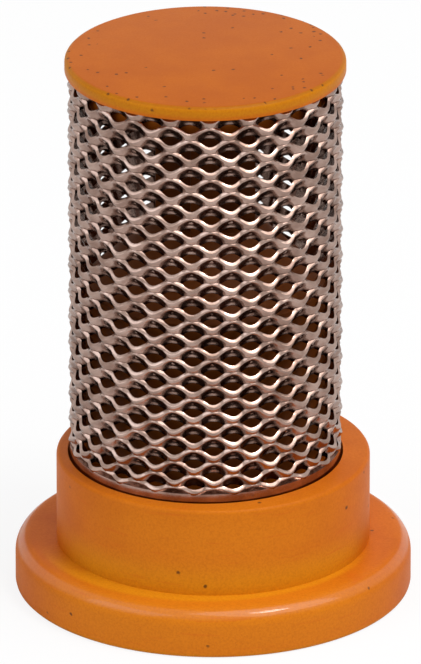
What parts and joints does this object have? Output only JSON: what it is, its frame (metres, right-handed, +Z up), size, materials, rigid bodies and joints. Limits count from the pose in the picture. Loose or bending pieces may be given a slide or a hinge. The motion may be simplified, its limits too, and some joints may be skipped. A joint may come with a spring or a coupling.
{
  "type": "filter nozzle",
  "caption": "Small spray nozzle filter: moulded flange, collar and hollow core inside a tube of expanded metal, closed by a round end cap.",
  "frame": {"origin": "centre of the flange's underside", "axes": "+Z up the filter, from the flange to the end cap; the screen, core and cap sit a little towards -X of the flange's axis"},
  "size_m": [0.0148, 0.0148, 0.021],
  "materials": {
    "orange_plastic": "moulded orange plastic with a soft sheen and a few dark specks",
    "screen_metal": "bright raised expanded stainless steel"
  },
  "bodies": {
    "root": {"body": "orange_plastic", "screen": "screen_metal", "end_cap": "orange_plastic"}
  },
  "joints": []
}
